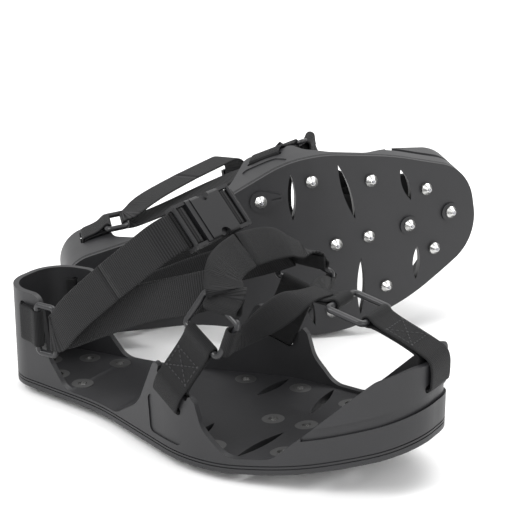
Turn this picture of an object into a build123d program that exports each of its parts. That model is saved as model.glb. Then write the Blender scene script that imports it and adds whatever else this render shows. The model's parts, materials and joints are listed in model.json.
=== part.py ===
"""A pair of strap-on shoe ice cleats: rubber overshoes with studs and a webbing harness.

Each cleat is built in its own frame, millimetres: +X to the toe, -Y to the outer side, +Z up,
with the stud tips under the ball of the foot at Z = 0. The right cleat stands on its studs. The
left one is the same cleat laid on its side behind it.
"""
from build123d import *
import math
import os

# Sole
SOLE_LENGTH = 320.0
HEEL_HALF_WIDTH = 36.0
WAIST_HALF_WIDTH = 43.0
BALL_HALF_WIDTH = 69.5
TOE_HALF_WIDTH = 46.0
WALL = 4.0
FLOOR = 8.0
TOE_RISE = 26.0
LIP_HEIGHT = 7.5
HEEL_CUP_HEIGHT = 70.0
TOE_CAP_HEIGHT = 76.0
GROOVE_DEPTH = 0.7
PANEL_DEPTH = 0.9
TOE_RECESS_DEPTH = 1.6

# Ears and strap slots
EAR_HEIGHT = 38.0
EAR_LEAN = 24.0
SLOT_HEIGHT = 5.0
SLOT_BAR = 8.0
HORN_WIDTH = 5.5
HORN_HEIGHT = 5.0
SLOT_PLAY = 1.3

# Studs
STUD_REACH = 5.0
BOSS_HEIGHT = 1.6
BOSS_RADIUS = 8.0
CONE_RADIUS = 4.5
SHANK_RADIUS = 3.0
INSERT_RADIUS = 4.6
INSERT_FLANGE_RADIUS = 7.5
INSERT_FLANGE = 1.4
TIP_RADIUS = 1.25
TIP_REACH = 0.8
THREAD_CLEARANCE = 0.05

# Webbing and rings
WEBBING = 25.4
FRONT_WEBBING = 19.0
THICKNESS = 1.6
WIRE_RADIUS = 2.1
RING_GAP = 25.0
HEEL_RING_GAP = 15.0
EYE_CLEARANCE = 0.3
STUB_RUN = 32.0
STUB_LEAN = 22.0

# Buckle
BUCKLE_TILT = 40.0
BUCKLE_HALF_WIDTH = 15.6
BUCKLE_HALF_THICKNESS = 4.6
BUCKLE_SHELL = 1.8
BUCKLE_BAR_RADIUS = 1.6
BUCKLE_LENGTH = 62.0
BUCKLE_PLAY = 0.3
PRONG_WIDTH = 2.2
BEND_RADIUS = 14.0

# Places, from the sizes above
SOLE_Z = STUD_REACH + BOSS_HEIGHT
ROCKER_START = 0.1 * SOLE_LENGTH
ROCKER_REACH = SOLE_LENGTH / 2 - ROCKER_START
ROCKER_RADIUS = (ROCKER_REACH ** 2 + TOE_RISE ** 2) / (2 * TOE_RISE)
EYE_RADIUS = WIRE_RADIUS + EYE_CLEARANCE
CORNER = 0.8 + WIRE_RADIUS
RING_WIDTH = WEBBING + 2 * (EYE_RADIUS + THICKNESS + EYE_CLEARANCE)
FAR = SOLE_LENGTH


# ---------------------------------------------------------------- sole outline and side views

def outline_edge(grow):
    """Outer (-Y) half of the sole's plan outline, moved outwards by a distance, heel to toe.

    It is a chain of tangent arcs, so a grown outline has the same arcs with larger or smaller radii.
    """
    half = SOLE_LENGTH / 2
    corners = [
        ((-half, -0.78 * HEEL_HALF_WIDTH), 0.74 * HEEL_HALF_WIDTH),
        ((-0.21 * SOLE_LENGTH, -WAIST_HALF_WIDTH + 4), 150),
        ((0.055 * SOLE_LENGTH, -BALL_HALF_WIDTH), 86),
        ((0.15 * SOLE_LENGTH, -BALL_HALF_WIDTH), 98),
        ((0.307 * SOLE_LENGTH, -1.22 * TOE_HALF_WIDTH), 190),
        ((half, -0.62 * TOE_HALF_WIDTH), 0.82 * TOE_HALF_WIDTH),
    ]
    chain = [Vector(-half, 0)] + [Vector(*c[0]) for c in corners] + [Vector(half, 0)]
    moved, radii = [], []
    for i, (_, radius) in enumerate(corners, start=1):
        before = (chain[i] - chain[i - 1]).normalized()
        after = (chain[i + 1] - chain[i]).normalized()
        normals = Vector(before.Y + after.Y, -before.X - after.X)
        moved.append(chain[i] + normals * (grow / (1 + before.dot(after))))
        radii.append(radius + math.copysign(grow, grow * before.cross(after).Z))
    return FilletPolyline((-half - grow, 0), *moved, (half + grow, 0), radius=radii)


OUTLINE = outline_edge(0)


def plan_block(grow, low=-10.0, high=150.0):
    """Upright block on the plan outline, grown (or shrunk) by the given distance."""
    half = outline_edge(grow)
    face = make_face([*half.edges(), *mirror(half, about=Plane.XZ).edges()])
    return Pos(0, 0, low) * extrude(face, amount=high - low)


def outline_point(x):
    """Point of the outer outline at x, with its unit direction towards the toe."""
    low, high = 0.0, 1.0
    for _ in range(40):
        middle = (low + high) / 2
        if (OUTLINE @ middle).X < x:
            low = middle
        else:
            high = middle
    return OUTLINE @ low, OUTLINE % low


def side_cut(face_edges):
    """Prism right across the shoe on a side view drawn in X and Z."""
    return extrude(Plane.XZ * make_face(face_edges), amount=FAR, both=True)


def above(height):
    """Everything above the rockered underside, raised by a height."""
    radius = ROCKER_RADIUS - height
    reach = SOLE_LENGTH / 2 + 12
    start = (-reach, SOLE_Z + height)
    knee = (ROCKER_START, SOLE_Z + height)
    turn = math.asin((reach - ROCKER_START) / radius)
    rise = [(ROCKER_START + radius * math.sin(a), SOLE_Z + ROCKER_RADIUS - radius * math.cos(a))
            for a in (turn / 2, turn)]
    arc = ThreePointArc(knee, rise[0], rise[1])
    rest = Polyline(rise[1], (reach, FAR), (-reach, FAR), start)
    return side_cut([Line(start, knee), arc, rest])


def rocker_frame(x, y):
    """Frame on the underside at plan position x, y: local X to the toe, Z into the sole."""
    turn = math.asin(max(0.0, x - ROCKER_START) / ROCKER_RADIUS)
    z = SOLE_Z + ROCKER_RADIUS * (1 - math.cos(turn))
    return Plane((x, y, z), x_dir=(math.cos(turn), 0, math.sin(turn)),
                 z_dir=(-math.sin(turn), 0, math.cos(turn)))


# ---------------------------------------------------------------- ear frame

EAR_X = 0.022 * SOLE_LENGTH
EAR_ANGLE = math.radians(EAR_LEAN)
SLOT_LENGTH = WEBBING + 2 * SLOT_PLAY
EAR_SLOT_Z = SOLE_Z + EAR_HEIGHT


def ear_point(along, up):
    """Side-view point given along the slot (towards the toe) and up across it."""
    c, s = math.cos(EAR_ANGLE), math.sin(EAR_ANGLE)
    return EAR_X + along * c + up * s, EAR_SLOT_Z - along * s + up * c


def rim():
    """Side view below the rim: heel cup, lip, ear with its notch, lip and toe cap."""
    half = SOLE_LENGTH / 2
    cup = SOLE_Z + HEEL_CUP_HEIGHT
    lip = SOLE_Z + LIP_HEIGHT
    toe = SOLE_Z + TOE_CAP_HEIGHT
    notch = SLOT_HEIGHT / 2 + SLOT_BAR
    inner = SLOT_LENGTH / 2 + 0.5
    outer = inner + HORN_WIDTH
    corners = [
        ((-half + HEEL_HALF_WIDTH + 3, cup), 9),
        ((-half + HEEL_HALF_WIDTH + 9, lip + 19), 18),
        ((-0.31 * SOLE_LENGTH, lip), 14),
        ((-0.15 * SOLE_LENGTH, lip), 14),
        ((EAR_X - 30, EAR_SLOT_Z - 14), 30),
        (ear_point(-outer, notch + HORN_HEIGHT - 1), 4),
        (ear_point(-inner, notch + HORN_HEIGHT), 1.6),
        (ear_point(-inner, notch), 1.2),
        (ear_point(inner, notch), 1.2),
        (ear_point(inner, notch + HORN_HEIGHT), 1.6),
        (ear_point(outer, notch + HORN_HEIGHT - 2), 4),
        ((EAR_X + 29, EAR_SLOT_Z - 12), 20),
        ((EAR_X + 46, lip + 3), 16),
        ((0.25 * SOLE_LENGTH, lip + 6), 14),
        ((half - 60, lip + 25), 40),
        ((half - 24, toe - 8), 18),
        ((half - 8, toe), 10),
    ]
    points = [(-half - 12, cup)] + [c[0] for c in corners] + [(half + 12, toe)]
    top = FilletPolyline(*points, radius=[c[1] for c in corners])
    base = Polyline(points[-1], (half + 12, -20), (-half - 12, -20), points[0])
    return side_cut([top, base])


# ---------------------------------------------------------------- studs

def stud_places():
    """Plan positions of the studs, with whether each sits in a teardrop boss."""
    length = SOLE_LENGTH
    pairs = [(-0.018 * length, 45), (0.106 * length, 52), (0.245 * length, 42.5),
             (0.378 * length, 24), (-0.3 * length, 21), (-0.375 * length, 17)]
    places = [(x, side * y, True) for x, y in pairs for side in (-1, 1)]
    places += [(0.22 * length, 0, True), (0.14 * length, 0, True), (-0.44 * length, 0, True)]
    places += [(0.323 * length, 0, False), (0.433 * length, 0, False)]
    return places


def teardrop():
    """Boss outline: a round boss with a tail pointing to the toe."""
    tail = Pos(14, 0) * Circle(2.6)
    return make_hull([*Circle(BOSS_RADIUS).edges(), *tail.edges()])


def bosses():
    """Raised rubber round every stud, following the rockered underside."""
    layer = above(-BOSS_HEIGHT) - above(3)
    solids = []
    for x, y, tailed in stud_places():
        outline = teardrop() if tailed else Circle(BOSS_RADIUS - 1)
        solids.append(Pos(x, y, -5) * extrude(outline, amount=60) & layer)
    return solids


def boss_slits():
    """Slit in the tail of every teardrop boss."""
    slit = Pos(11.5, 0, -BOSS_HEIGHT) * Box(7, 1.2, 1.6)
    return [rocker_frame(x, y) * slit for x, y, tailed in stud_places() if tailed]


def insert_hole():
    """Room in the floor for one T-nut and its stud."""
    hole = Pos(0, 0, -BOSS_HEIGHT - 1) * extrude(Circle(SHANK_RADIUS + THREAD_CLEARANCE), amount=FLOOR)
    hole += extrude(Circle(INSERT_RADIUS), amount=FLOOR)
    hole += Pos(0, 0, FLOOR - INSERT_FLANGE) * extrude(Circle(INSERT_FLANGE_RADIUS), amount=FLOOR)
    return hole


def stud_insert():
    """T-nut moulded into the floor from above."""
    nut = extrude(Circle(INSERT_RADIUS), amount=FLOOR)
    nut += Pos(0, 0, FLOOR - INSERT_FLANGE) * extrude(Circle(INSERT_FLANGE_RADIUS), amount=INSERT_FLANGE)
    return nut - extrude(Circle(SHANK_RADIUS + THREAD_CLEARANCE), amount=FLOOR)


def stud_body():
    """Screw-in stud: a shank with a conical head below the boss."""
    low = -BOSS_HEIGHT - STUD_REACH + TIP_REACH
    profile = Polyline((0, FLOOR - 1.5), (SHANK_RADIUS, FLOOR - 1.5), (SHANK_RADIUS, -BOSS_HEIGHT),
                       (CONE_RADIUS, -BOSS_HEIGHT), (CONE_RADIUS, -BOSS_HEIGHT - 0.8),
                       (TIP_RADIUS + 0.5, low), (0, low), (0, FLOOR - 1.5))
    body = revolve(Plane.XZ * make_face([profile]), axis=Axis.Z)
    return body - Pos(0, 0, low) * extrude(Circle(TIP_RADIUS), amount=2.0)


def stud_tip():
    """Carbide pin pressed into the stud's nose, with a blunt cone on its end."""
    low = -BOSS_HEIGHT - STUD_REACH
    pin = Pos(0, 0, low + TIP_REACH / 2) * extrude(Circle(TIP_RADIUS), amount=2.0 + TIP_REACH / 2)
    nose = Pos(0, 0, low + TIP_REACH / 4) * Cone(0.5, TIP_RADIUS, TIP_REACH / 2)
    return pin + nose


def on_every_stud(shape):
    """Copies of one shape, one at each stud."""
    return [rocker_frame(x, y) * shape for x, y, _ in stud_places()]


# ---------------------------------------------------------------- sole

def flex_slots():
    """Lens-shaped slots right through the floor."""
    length = SOLE_LENGTH
    slots = [(0.055 * length, 43, 36, 6), (0.184 * length, 38, 45, -9), (0.329 * length, 31.5, 26, -11)]
    cuts = []
    for x, y, long, lean in slots:
        half = long / 2
        lens = make_face([ThreePointArc((0, -half), (3, 0), (0, half)),
                          ThreePointArc((0, half), (-3, 0), (0, -half))])
        for side in (-1, 1):
            cuts.append(Pos(x, side * y, -5) * Rot(0, 0, -side * lean) * extrude(lens, amount=60))
    return cuts


def heel_slot_x():
    """Distance of the heel cup's slots from the middle of the sole."""
    return -SOLE_LENGTH / 2 + HEEL_HALF_WIDTH - 14


HEEL_RING_Z = SOLE_Z + 49.0
TOE_SLOT_Z = SOLE_Z + 60.5


def strap_slots():
    """Slots for the webbing: one in each ear, one each side of the heel cup, one in the toe cap."""
    ear = Plane.XZ * Pos(*ear_point(0, 0)) * Rot(0, 0, -EAR_LEAN) * SlotOverall(SLOT_LENGTH, SLOT_HEIGHT)
    heel = Plane.XZ * Pos(heel_slot_x(), HEEL_RING_Z) * Rot(0, 0, 90) * SlotOverall(SLOT_LENGTH, SLOT_HEIGHT)
    cuts = [extrude(ear, amount=FAR, both=True), extrude(heel, amount=FAR, both=True)]
    toe = Plane.YZ * Pos(0, TOE_SLOT_Z) * SlotOverall(SLOT_LENGTH, SLOT_HEIGHT)
    cuts.append(Pos(SOLE_LENGTH / 2 - 15, 0, 0) * extrude(toe, amount=30))
    return cuts


def skin(depth):
    """The outermost layer of the walls, down to a depth."""
    return plan_block(5) - plan_block(-depth)


def surface_lines():
    """Shallow cuts in the outer face: base grooves, the ear's panel and the toe's recess."""
    thin = skin(GROOVE_DEPTH)
    cuts = [thin & (above(3.2) - above(4.0)), thin & (above(5.2) - above(6.0))]
    panel = [ear_point(-18, -8), ear_point(11, -8), (EAR_X + 16, SOLE_Z + 10), (EAR_X - 17, SOLE_Z + 10)]
    face = FilletPolyline(*panel, radius=4, close=True)
    cuts.append(skin(PANEL_DEPTH) & side_cut([face]))
    toe = Pos(SOLE_LENGTH / 2 - 62 + FAR / 2, 0, 50) * Box(FAR, FAR, FAR)
    cuts.append(skin(TOE_RECESS_DEPTH) & (above(21) - above(28)) & toe)
    return cuts


def make_sole():
    """The rubber overshoe."""
    shell = plan_block(0) & rim() & above(0)
    shell -= plan_block(-WALL) & above(FLOOR)
    shell += bosses()
    cuts = surface_lines() + strap_slots() + flex_slots() + boss_slits() + on_every_stud(insert_hole())
    for cut in cuts:
        shell -= cut
    return shell


# ---------------------------------------------------------------- rings and webbing loops

def ring(gap):
    """Rectangular ring of round wire: bars along X, a gap apart in Y, centred on its lower bar."""
    path = (Pos(0, gap / 2) * RectangleRounded(RING_WIDTH, gap, CORNER)).wire()
    start = Plane(origin=path @ 0, z_dir=path % 0)
    return sweep(start * Circle(WIRE_RADIUS), path=path)


def looped(hole, run_start, eye, width):
    """Doubled webbing seen edge on: round a hole's outline, along a run and round a ring's bar."""
    start, end = Vector(*run_start), Vector(*eye)
    middle = (start + end) / 2
    angle = math.degrees(math.atan2(end.Y - start.Y, end.X - start.X))
    band = Pos(middle.X, middle.Y) * Rot(0, 0, angle) * Rectangle((end - start).length, 2 * THICKNESS)
    section = band + Pos(end.X, end.Y) * Circle(EYE_RADIUS + THICKNESS)
    if hole:
        face = make_face([Polyline(*hole, hole[0])])
        section = section + offset(face, amount=THICKNESS) - face
    section -= Pos(end.X, end.Y) * Circle(EYE_RADIUS)
    return extrude(section, amount=width / 2, both=True)


# Outer ear: the slot's centre in the middle of the wall, and the directions round it
EAR_EDGE, EAR_TANGENT = outline_point(EAR_X)
EAR_OUT = Vector(EAR_TANGENT.Y, -EAR_TANGENT.X, 0)
EAR_ALONG = EAR_TANGENT * math.cos(EAR_ANGLE) + Vector(0, 0, -math.sin(EAR_ANGLE))
EAR_UP = EAR_TANGENT * math.sin(EAR_ANGLE) + Vector(0, 0, math.cos(EAR_ANGLE))
EAR_SLOT = Vector(EAR_X, EAR_EDGE.Y, EAR_SLOT_Z) - EAR_OUT * (WALL / 2)
STRIP_TOP = SLOT_HEIGHT / 2 + SLOT_BAR
LEAN = math.radians(STUB_LEAN)
STUB_UP = EAR_UP * math.cos(LEAN) - EAR_OUT * math.sin(LEAN)
STUB_START = (0.0, STRIP_TOP + 5)
STUB_EYE = (-math.sin(LEAN) * STUB_RUN, STRIP_TOP + 5 + math.cos(LEAN) * STUB_RUN)
SIDE_BAR = EAR_SLOT + EAR_OUT * STUB_EYE[0] + EAR_UP * STUB_EYE[1]


def side_stub():
    """Webbing loop from the outer ear's slot to the side ring."""
    outer = WALL / 2 + 0.5
    inner = -outer - 1.2
    top = STRIP_TOP + 0.7
    hole = [(inner, -0.3), (outer, -0.3), (outer, top), (0, STRIP_TOP + 6), (inner, top)]
    plane = Plane(EAR_SLOT, x_dir=EAR_OUT, z_dir=EAR_OUT.cross(EAR_UP))
    return plane * looped(hole, STUB_START, STUB_EYE, WEBBING)


def side_ring_frame():
    """Frame of the outer side ring: X along its bars to the toe, Y up the ring."""
    return Plane(SIDE_BAR, x_dir=EAR_ALONG, z_dir=EAR_ALONG.cross(STUB_UP))


# Toe: the ring's front bar and the run of the toe stub
TOE_X = SOLE_LENGTH / 2
TOE_TOP = SOLE_Z + TOE_CAP_HEIGHT
TOE_BAR = Vector(TOE_X - 42.5, 0, TOE_TOP + 18.5)
TOE_RING_SLOPE = 12.0


def toe_stub():
    """Webbing loop from the toe cap's slot, over its rim, to the toe ring."""
    inner, outer = TOE_X - WALL - 2.8, TOE_X + 0.8
    low = TOE_SLOT_Z - 0.3
    hole = [(inner, low), (outer, low), (outer, TOE_TOP + 1), (TOE_X - 9, TOE_TOP + 6.5), (inner, TOE_TOP)]
    run_start = (TOE_X - 7, TOE_TOP + 5.5)
    return Plane.XZ * looped(hole, run_start, (TOE_BAR.X, TOE_BAR.Z), WEBBING)


def toe_ring_frame():
    """Frame of the toe ring: X along its bars, Y from the front bar to the rear bar."""
    slope = math.radians(TOE_RING_SLOPE)
    back = Vector(-math.cos(slope), 0, math.sin(slope))
    across = Vector(0, 1, 0)
    return Plane(TOE_BAR, x_dir=across, z_dir=across.cross(back))


TOE_REAR_BAR = toe_ring_frame().from_local_coords(Vector(0, RING_GAP, 0))
LOOP_TAIL = TOE_REAR_BAR + Vector(-22, 0, 0)


def front_loop():
    """Short doubled loop behind the toe ring, which the front straps are sewn to."""
    section = looped(None, (LOOP_TAIL.X, LOOP_TAIL.Z), (TOE_REAR_BAR.X, TOE_REAR_BAR.Z), FRONT_WEBBING)
    return Plane.XZ * section


# Heel: the outer heel ring stands upright beside the heel cup, with its rear bar in the tab's eye
HEEL_WALL, _ = outline_point(-SOLE_LENGTH / 2 + HEEL_HALF_WIDTH + 5)
HEEL_BAR = Vector(HEEL_WALL.X, HEEL_WALL.Y - 2 * EYE_CLEARANCE - EYE_RADIUS - THICKNESS, HEEL_RING_Z)
HEEL_FRONT_BAR = HEEL_BAR + Vector(HEEL_RING_GAP, 0, 0)


def heel_ring_frame():
    """Frame of the outer heel ring: X up along its bars, Y from the rear bar to the front bar."""
    return Plane(HEEL_BAR, x_dir=(0, 0, 1), z_dir=(0, 1, 0))


def heel_tab():
    """Webbing tab: sewn flat inside the heel cup, out through the slot and round the ring's bar."""
    slot = heel_slot_x()
    low = HEEL_RING_Z - WEBBING / 2
    high = HEEL_RING_Z + WEBBING / 2

    def window(x0, x1, y0, y1):
        return Pos((x0 + x1) / 2, (y0 + y1) / 2, HEEL_RING_Z) * Box(x1 - x0, y1 - y0, WEBBING)

    near = EYE_CLEARANCE + 0.1
    outside = plan_block(near + 2 * THICKNESS, low, high) - plan_block(near, low, high)
    inside = plan_block(-WALL - near, low, high) - plan_block(-WALL - near - THICKNESS, low, high)
    tab = outside & window(slot - 3, HEEL_BAR.X, -FAR, 0)
    tab += inside & window(slot - 11, slot + 7, -FAR, 0)
    edge, _ = outline_point(slot)
    tab += window(slot - THICKNESS, slot + THICKNESS, edge.Y - near - 1, edge.Y + WALL + near + 1.6)
    eye = Pos(HEEL_BAR.X, HEEL_BAR.Y) * Circle(EYE_RADIUS + THICKNESS)
    tab += Pos(0, 0, low) * extrude(eye, amount=WEBBING)
    hole = Pos(HEEL_BAR.X, HEEL_BAR.Y) * Circle(EYE_RADIUS)
    return tab - Pos(0, 0, low) * extrude(hole, amount=WEBBING)


# ---------------------------------------------------------------- straps

def ribbon(stations, width):
    """Flat strap through stations of (centre, width direction), each a rectangle across the run."""
    centres = [Vector(*c) for c, _ in stations]
    sections = []
    for i, (_, across) in enumerate(stations):
        run = centres[min(i + 1, len(centres) - 1)] - centres[max(i - 1, 0)]
        side = Vector(*across)
        side = (side - run * (side.dot(run) / run.dot(run))).normalized()
        plane = Plane(centres[i], x_dir=side, z_dir=run)
        sections.append(plane * Rectangle(width, THICKNESS))
    return loft(sections, ruled=True)


def mirrored(shape):
    """The same piece on the inner (+Y) side."""
    return mirror(shape, about=Plane.XZ)


# Buckle frame: local X across the shoe, Y up across the buckle's width, Z out of the ankle
BUCKLE_CENTRE = Vector(-4.0, 0.0, 143.0)
TILT = math.radians(BUCKLE_TILT)
BUCKLE_UP = Vector(-math.sin(TILT), 0, math.cos(TILT))
BUCKLE_OUT = Vector(math.cos(TILT), 0, math.sin(TILT))
BUCKLE = Plane(BUCKLE_CENTRE, x_dir=(0, 1, 0), z_dir=BUCKLE_OUT)
CROWN = BUCKLE_CENTRE + Vector(27, 0, -19)


SIDE_TOP_BAR = side_ring_frame().from_local_coords(Vector(0, RING_GAP, 0))
SIDE_FRONT_BAR = side_ring_frame().from_local_coords(Vector(RING_WIDTH / 2, RING_GAP / 2, 0))


def instep_bend():
    """Where the instep strap has risen from the side ring and turns over the foot."""
    return CROWN + Vector(13, 0.87 * SIDE_TOP_BAR.Y, -6)


def instep_lead():
    """Direction in which the instep strap leaves the outer side ring."""
    lead = instep_bend() - SIDE_TOP_BAR
    return (lead - EAR_ALONG * lead.dot(EAR_ALONG)).normalized()


def instep_strap():
    """Strap over the instep, folded round both side rings' upper bars."""
    c, bend, lead = CROWN, instep_bend(), instep_lead()
    half = [
        (SIDE_TOP_BAR + lead * (EYE_RADIUS + THICKNESS + 2), EAR_ALONG),
        (bend, Vector(0.87, -0.1, -0.48)),
        (Vector(c.X + 6, 0.74 * bend.Y, c.Z - 0.5), Vector(0.80, -0.05, -0.60)),
        (Vector(c.X + 1.5, 0.39 * bend.Y, c.Z + 1.2), Vector(0.72, 0, -0.69)),
        (Vector(c.X, 0, c.Z + 2), Vector(0.67, 0, -0.74)),
    ]
    other = [(Vector(c.X, -c.Y, c.Z), Vector(w.X, -w.Y, w.Z)) for c, w in half[-2::-1]]
    plane = Plane(SIDE_TOP_BAR, x_dir=lead, z_dir=EAR_ALONG)
    fold = plane * looped(None, (EYE_RADIUS + THICKNESS + 4, 0), (0, 0), WEBBING)
    bar = plane * Cylinder(EYE_RADIUS, 2 * RING_WIDTH)
    return ribbon(half + other, WEBBING) + fold + mirrored(fold) - bar - mirrored(bar)


def front_strap(lift):
    """Outer front strap: folded round the side ring's front bar and sewn to the toe ring's loop."""
    plane = Plane(SIDE_FRONT_BAR, x_dir=EAR_ALONG, z_dir=STUB_UP)
    run_start = (8.0, 7.5)
    start = plane.from_local_coords(Vector(0.9 * run_start[0], 0.9 * run_start[1], 0))
    along, flat = Vector(0.35, 0.94, 0), Vector(-0.94, 0.35, 0)
    middle = LOOP_TAIL + Vector(7, 0, lift)
    run = middle - along * 13 - start
    stations = [
        (start, STUB_UP),
        (start + run * 0.4 + Vector(0, -2.5, 0.5), Vector(0.1, 0.3, 0.95)),
        (start + run * 0.75 + Vector(0, -1, 1), Vector(-0.5, 0.4, 0.75)),
        (middle - along * 13, flat),
        (middle + along * 3, flat),
    ]
    fold = plane * looped(None, run_start, (0, 0), FRONT_WEBBING)
    return ribbon(stations, FRONT_WEBBING) + fold


def buckle_point(across, up, out):
    """World point from buckle coordinates."""
    return BUCKLE.from_local_coords(Vector(across, up, out))


# Strap end of the buckle, mirrored on its two ends
BUCKLE_END = BUCKLE_LENGTH / 2
OUTER_BAR = BUCKLE_END - BUCKLE_BAR_RADIUS
INNER_BAR = OUTER_BAR - 6.3
BLOCK_END = INNER_BAR - EYE_RADIUS - THICKNESS - 1.5
BAR_DROP = -0.4
STRAP_OUT = -0.9


def heel_strap():
    """Outer heel strap: under the instep strap, round the heel ring and on to the buckle's ladder."""
    bar, reach = HEEL_FRONT_BAR, EYE_RADIUS + THICKNESS / 2
    up = Vector(0, 0, 1)
    turn = Circle(EYE_RADIUS + THICKNESS) - Circle(EYE_RADIUS)
    turn &= Pos(-10, 0) * Rectangle(20.2, 20)
    fold = Pos(bar.X, bar.Y, bar.Z - WEBBING / 2) * extrude(turn, amount=WEBBING)

    side = -46.0
    bend = [math.radians(a) for a in (0, 15, 30, 45, 60, 75, 90)]
    curve = [(side + BEND_RADIUS * (1 - math.cos(a)), STRAP_OUT - BEND_RADIUS * (1 - math.sin(a))) for a in bend]
    upper = [(bar + Vector(0, -reach, 0), up), (bar + Vector(4, -reach - 0.2, 1.5), up)]
    upper += [(buckle_point(side + 1, -1, -104), BUCKLE_UP), (buckle_point(side, 0, -60), BUCKLE_UP)]
    upper += [(buckle_point(x, 0, z), BUCKLE_UP) for x, z in curve]
    upper.append((buckle_point(side + BEND_RADIUS + 3, 0, STRAP_OUT), BUCKLE_UP))

    tucked = SIDE_TOP_BAR + Vector(-12.5, 11, 7)
    lower = [(bar + Vector(0, reach, 0), up), (bar + Vector(4, reach + 0.3, 0.7), up)]
    lower += [(bar + Vector(34, reach, 16), Vector(-0.43, 0, 0.9))]
    lower += [(bar + Vector(78, -1, 38), Vector(-0.43, 0, 0.9))]
    lower += [(tucked + Vector(-21, -2.5, -8.5), Vector(-0.42, 0.2, 0.88)), (tucked, Vector(-0.4, 0.45, 0.8))]

    ladder = Plane(BUCKLE_CENTRE, x_dir=(0, 1, 0), z_dir=-BUCKLE_UP)
    end = looped(None, (side + BEND_RADIUS, STRAP_OUT - THICKNESS / 2), (-INNER_BAR, BAR_DROP), WEBBING)
    eye = Pos(*bar) * Cylinder(EYE_RADIUS, 2 * RING_WIDTH)
    return fold + ribbon(upper, WEBBING) + ribbon(lower, WEBBING) + ladder * end - eye


# ---------------------------------------------------------------- buckle

def bar_across(along, out, radius, width):
    """Round bar running up the buckle's width."""
    return Pos(along, 0, out) * Rot(90, 0, 0) * Cylinder(radius, width)


def strap_end():
    """Ladder frame on the male end: two rails, an outer bar and the bar that holds the webbing."""
    rail = 2.4
    inside = BUCKLE_HALF_WIDTH - rail
    length = BUCKLE_END - BLOCK_END
    middle = -(BUCKLE_END + BLOCK_END) / 2
    frame = Pos(middle, BUCKLE_HALF_WIDTH - rail / 2) * Box(length, rail, 6.8)
    frame += Pos(middle, -BUCKLE_HALF_WIDTH + rail / 2) * Box(length, rail, 6.8)
    frame += bar_across(-OUTER_BAR, 2.4, BUCKLE_BAR_RADIUS, 2 * inside + 1)
    frame += bar_across(-INNER_BAR, BAR_DROP, EYE_RADIUS - EYE_CLEARANCE, 2 * inside + 1)
    return frame


PRONG_ROOT = -12.8
PRONG_TIP = 1.5
PRONG_OFFSET = 8.7
BULB_RADIUS = 3.6
WINDOW_RADIUS = 5.3
CAVITY_HALF_WIDTH = 12.3
MALE_FACE = -13.0
PRONG_HALF_THICKNESS = 2.2


def buckle_male():
    """Male half: ladder frame, cross block and centre tongue."""
    body = strap_end()
    length = BLOCK_END + MALE_FACE
    block = Box(length, 2 * BUCKLE_HALF_WIDTH, 8)
    block = fillet(block.edges().filter_by(Axis.X), 1.4)
    body += Pos(MALE_FACE - length / 2, 0) * block
    body += Pos((MALE_FACE + 8) / 2, 0) * Box(8 - MALE_FACE, 5, 2 * PRONG_HALF_THICKNESS)
    return BUCKLE * body


def buckle_prong():
    """Upper spring prong: an arm with a rounded thumb tab at its tip."""
    length = PRONG_TIP - PRONG_ROOT
    arm = Pos((PRONG_TIP + PRONG_ROOT) / 2, PRONG_OFFSET) * Rectangle(length, PRONG_WIDTH)
    tab = Pos(PRONG_TIP, PRONG_OFFSET + 2.6) * Circle(BULB_RADIUS)
    return BUCKLE * extrude(arm + tab, amount=PRONG_HALF_THICKNESS, both=True)


def buckle_female():
    """Female half: hollow body with a thumb window each side and its own ladder frame."""
    low, high = MALE_FACE + BUCKLE_PLAY, BLOCK_END
    shell = Box(high - low, 2 * BUCKLE_HALF_WIDTH, 2 * BUCKLE_HALF_THICKNESS)
    shell = fillet(shell.edges().filter_by(Axis.X), 2.2)
    body = Pos((low + high) / 2, 0) * shell
    hollow = Box(high - 4 - low, 2 * CAVITY_HALF_WIDTH, 2 * (BUCKLE_HALF_THICKNESS - BUCKLE_SHELL))
    body -= Pos((high - 4 + low) / 2, 0) * hollow
    for side in (-1, 1):
        body -= Pos(PRONG_TIP, side * BUCKLE_HALF_WIDTH) * Cylinder(WINDOW_RADIUS, 20)
    body += mirror(strap_end(), about=Plane.YZ)
    return BUCKLE * body


# ---------------------------------------------------------------- one cleat and the pair

def make_cleat():
    """Every piece of one cleat in its own frame, by name."""
    stub, tab, strap = side_stub(), heel_tab(), heel_strap()
    side = side_ring_frame() * ring(RING_GAP)
    heel = heel_ring_frame() * ring(HEEL_RING_GAP)
    prong = buckle_prong()
    lift = 1.5 * THICKNESS + 0.3
    return {
        "sole": make_sole(),
        "stud_inserts": Compound(on_every_stud(stud_insert())),
        "stud_bodies": Compound(on_every_stud(stud_body())),
        "stud_tips": Compound(on_every_stud(stud_tip())),
        "outer_side_stub": stub,
        "inner_side_stub": mirrored(stub),
        "toe_stub": toe_stub(),
        "outer_heel_tab": tab,
        "inner_heel_tab": mirrored(tab),
        "outer_side_ring": side,
        "inner_side_ring": mirrored(side),
        "toe_ring": toe_ring_frame() * ring(RING_GAP),
        "outer_heel_ring": heel,
        "inner_heel_ring": mirrored(heel),
        "front_loop": front_loop(),
        "outer_front_strap": front_strap(lift),
        "inner_front_strap": mirrored(front_strap(-lift)),
        "instep_strap": instep_strap(),
        "outer_heel_strap": strap,
        "inner_heel_strap": mirrored(strap),
        "buckle_male": buckle_male(),
        "buckle_prong_upper": prong,
        "buckle_prong_lower": prong.rotate(Axis(BUCKLE_CENTRE, BUCKLE_OUT.cross(BUCKLE_UP)), 180),
        "buckle_female": buckle_female(),
    }


# The left cleat lies on its inner side behind the right one, turned by a yaw and a pitch
LYING_YAW = 42.0
LYING_PITCH = 9.5
LYING_PLACE = (-38.0, 141.0, 0.0)


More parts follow.
